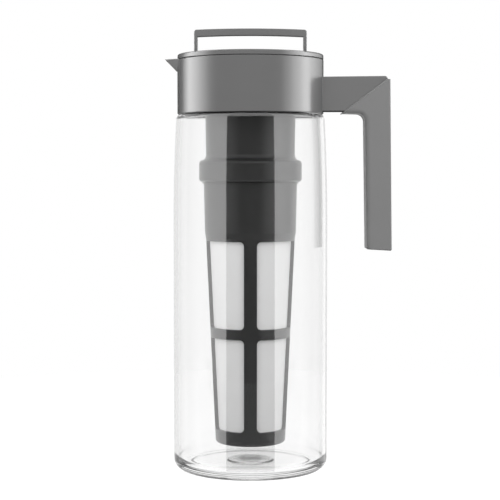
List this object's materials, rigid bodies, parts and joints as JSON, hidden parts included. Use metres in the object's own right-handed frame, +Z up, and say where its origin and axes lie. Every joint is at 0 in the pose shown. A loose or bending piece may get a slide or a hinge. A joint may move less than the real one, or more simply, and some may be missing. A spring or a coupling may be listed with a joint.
{
  "type": "cold brew coffee maker",
  "caption": "Clear pitcher with a grey pouring collar and side handle, a turning lid with a fold-down bail, and a mesh infuser that hangs inside.",
  "frame": {"origin": "on the vessel's axis, at the foot that it stands on", "axes": "+Z up along the vessel's axis, +X towards the handle, -X towards the pouring lip"},
  "size_m": [0.1557, 0.1062, 0.3036],
  "materials": {
    "clear_plastic": "gloss",
    "grey_plastic": "satin",
    "soft_grip": "matte",
    "silicone_seal": "matte",
    "dark_plastic": "satin",
    "white_mesh": "matte"
  },
  "bodies": {
    "root": {"pitcher": "clear_plastic", "neck_seal": "silicone_seal", "spout_collar": "grey_plastic", "handle_grip": "soft_grip"},
    "extender": {"infuser_extender": "dark_plastic"},
    "lid": {"lid_cap": "grey_plastic", "lid_plug": "grey_plastic", "rim_seal": "silicone_seal", "pour_seal": "silicone_seal"},
    "bail": {"lid_bail": "grey_plastic"},
    "basket": {"infuser_basket": "dark_plastic", "infuser_mesh": "white_mesh"}
  },
  "joints": [
    {"name": "lid_lift", "type": "slide", "parent": "root", "child": "extender", "axis": [0, 0, 1], "range_m": [0, 0.275]},
    {"name": "lid_turn", "type": "hinge", "parent": "extender", "child": "lid", "pos_m": [0, 0, 0.28], "axis": [0, 0, 1], "range_deg": [0, 90]},
    {"name": "bail_fold", "type": "hinge", "parent": "lid", "child": "bail", "pos_m": [0, 0, 0.2832], "axis": [1, 0, 0], "range_deg": [-90, 90]},
    {"name": "basket_turn", "type": "hinge", "parent": "extender", "child": "basket", "pos_m": [0, 0, 0.2], "axis": [0, 0, 1], "range_deg": [0, 90]}
  ]
}
